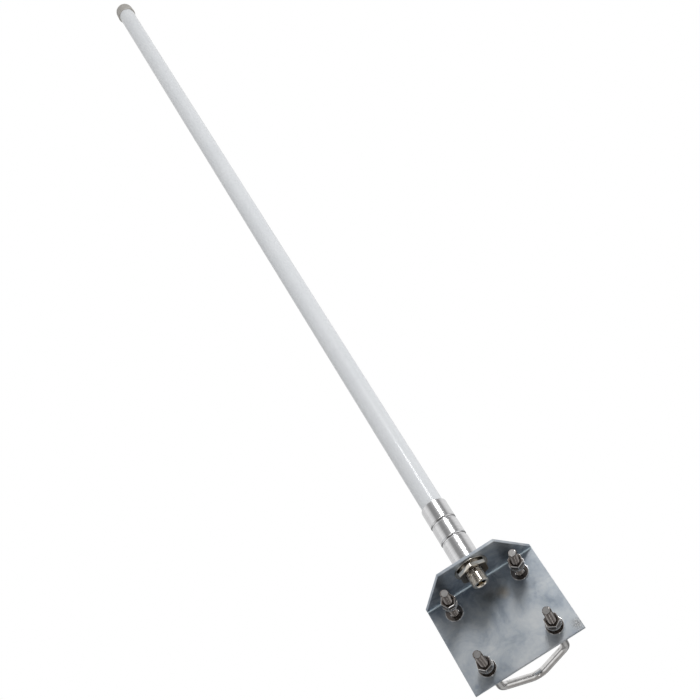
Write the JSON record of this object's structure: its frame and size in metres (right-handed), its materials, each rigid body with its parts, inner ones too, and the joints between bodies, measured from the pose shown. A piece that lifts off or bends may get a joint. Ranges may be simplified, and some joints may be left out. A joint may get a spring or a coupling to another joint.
{
  "type": "omnidirectional antenna",
  "caption": "Vertical fibreglass omnidirectional antenna with an N-type connector, an aluminium base ferrule and an L bracket that V-bolts clamp to a mast.",
  "frame": {"origin": "centre of the RF connector's open end, on the antenna's long axis", "axes": "+Z along the antenna towards its tip, +Y from the bracket's plate towards the mast, X across the bracket"},
  "size_m": [0.113, 0.1341, 1.1585],
  "materials": {
    "white_fibreglass": "glossy white lacquered fibreglass tube",
    "cap_plastic": "satin warm grey moulded plastic",
    "polished_aluminium": "turned and polished",
    "nickel": "bright nickel plate over brass",
    "nickel_washer": "nickel plate, slightly dull",
    "ptfe": "waxy white insulator",
    "gold_contact": "gold plate over brass",
    "zinc_steel": "cloudy blue-grey zinc plate on sheet steel",
    "stainless": "bright stainless steel",
    "seal_rubber": "black nitrile",
    "copper": "bare copper",
    "brass": "drawn brass",
    "foam": "closed-cell foam"
  },
  "bodies": {
    "antenna_and_bracket": {"radome_tube": "white_fibreglass", "radome_cap": "cap_plastic", "base_ferrule": "polished_aluminium", "connector_body": "nickel", "connector_insulator": "ptfe", "connector_contact": "gold_contact", "ferrule_seal_ring": "seal_rubber", "connector_flat_washer": "nickel_washer", "connector_lock_washer": "nickel_washer", "connector_nut": "nickel", "mounting_bracket": "zinc_steel", "feed_coax": "copper", "choke_sleeve": "brass", "tip_plug": "foam", "upper_left_plate_washer": "stainless", "upper_right_plate_washer": "stainless", "lower_left_plate_washer": "stainless", "lower_right_plate_washer": "stainless", "radiator_1": "brass", "radiator_2": "brass", "radiator_3": "brass", "radiator_4": "brass", "radiator_5": "brass", "foam_spacer_1": "foam", "foam_spacer_2": "foam", "foam_spacer_3": "foam", "foam_spacer_4": "foam", "foam_spacer_5": "foam", "phasing_coil_1": "copper", "phasing_coil_2": "copper", "phasing_coil_3": "copper", "phasing_coil_4": "copper"},
    "upper_v_bolt_rod": {"upper_v_bolt": "stainless"},
    "lower_v_bolt_rod": {"lower_v_bolt": "stainless"},
    "upper_left_washer_carrier": {"upper_left_spring_washer": "stainless"},
    "upper_left_hex_nut": {"upper_left_nut": "stainless"},
    "upper_right_washer_carrier": {"upper_right_spring_washer": "stainless"},
    "upper_right_hex_nut": {"upper_right_nut": "stainless"},
    "lower_left_washer_carrier": {"lower_left_spring_washer": "stainless"},
    "lower_left_hex_nut": {"lower_left_nut": "stainless"},
    "lower_right_washer_carrier": {"lower_right_spring_washer": "stainless"},
    "lower_right_hex_nut": {"lower_right_nut": "stainless"}
  },
  "joints": [
    {"name": "upper_bolt_slide", "type": "slide", "parent": "antenna_and_bracket", "child": "upper_v_bolt_rod", "axis": [-0.061, 0.9981, 0], "range_m": [-0.03, 0.007]},
    {"name": "lower_bolt_slide", "type": "slide", "parent": "antenna_and_bracket", "child": "lower_v_bolt_rod", "axis": [0, 1, 0], "range_m": [-0.03, 0.0024]},
    {"name": "upper_left_nut_travel", "type": "slide", "parent": "upper_v_bolt_rod", "child": "upper_left_washer_carrier", "axis": [0.061, -0.9981, 0], "range_m": [-0.0075, 0.015]},
    {"name": "upper_left_nut_spin", "type": "hinge", "parent": "upper_left_washer_carrier", "child": "upper_left_hex_nut", "pos_m": [-0.03493, 0.03026, 0.005], "axis": [0.061, -0.9981, 0], "range_deg": [-2160, 4320]},
    {"name": "upper_right_nut_travel", "type": "slide", "parent": "upper_v_bolt_rod", "child": "upper_right_washer_carrier", "axis": [0.061, -0.9981, 0], "range_m": [-0.0075, 0.015]},
    {"name": "upper_right_nut_spin", "type": "hinge", "parent": "upper_right_washer_carrier", "child": "upper_right_hex_nut", "pos_m": [0.03493, 0.03454, 0.005], "axis": [0.061, -0.9981, 0], "range_deg": [-2160, 4320]},
    {"name": "lower_left_nut_travel", "type": "slide", "parent": "lower_v_bolt_rod", "child": "lower_left_washer_carrier", "axis": [0, -1, 0], "range_m": [-0.0024, 0.02]},
    {"name": "lower_left_nut_spin", "type": "hinge", "parent": "lower_left_washer_carrier", "child": "lower_left_hex_nut", "pos_m": [-0.035, 0.0324, -0.055], "axis": [0, -1, 0], "range_deg": [-691.2, 5760]},
    {"name": "lower_right_nut_travel", "type": "slide", "parent": "lower_v_bolt_rod", "child": "lower_right_washer_carrier", "axis": [0, -1, 0], "range_m": [-0.0024, 0.02]},
    {"name": "lower_right_nut_spin", "type": "hinge", "parent": "lower_right_washer_carrier", "child": "lower_right_hex_nut", "pos_m": [0.035, 0.0324, -0.055], "axis": [0, -1, 0], "range_deg": [-691.2, 5760]}
  ],
  "couplings": [
    {"joint": "upper_left_nut_travel", "follows": "upper_left_nut_spin", "m_per_rad": 0.00019894},
    {"joint": "upper_right_nut_travel", "follows": "upper_right_nut_spin", "m_per_rad": 0.00019894},
    {"joint": "lower_left_nut_travel", "follows": "lower_left_nut_spin", "m_per_rad": 0.00019894},
    {"joint": "lower_right_nut_travel", "follows": "lower_right_nut_spin", "m_per_rad": 0.00019894}
  ]
}
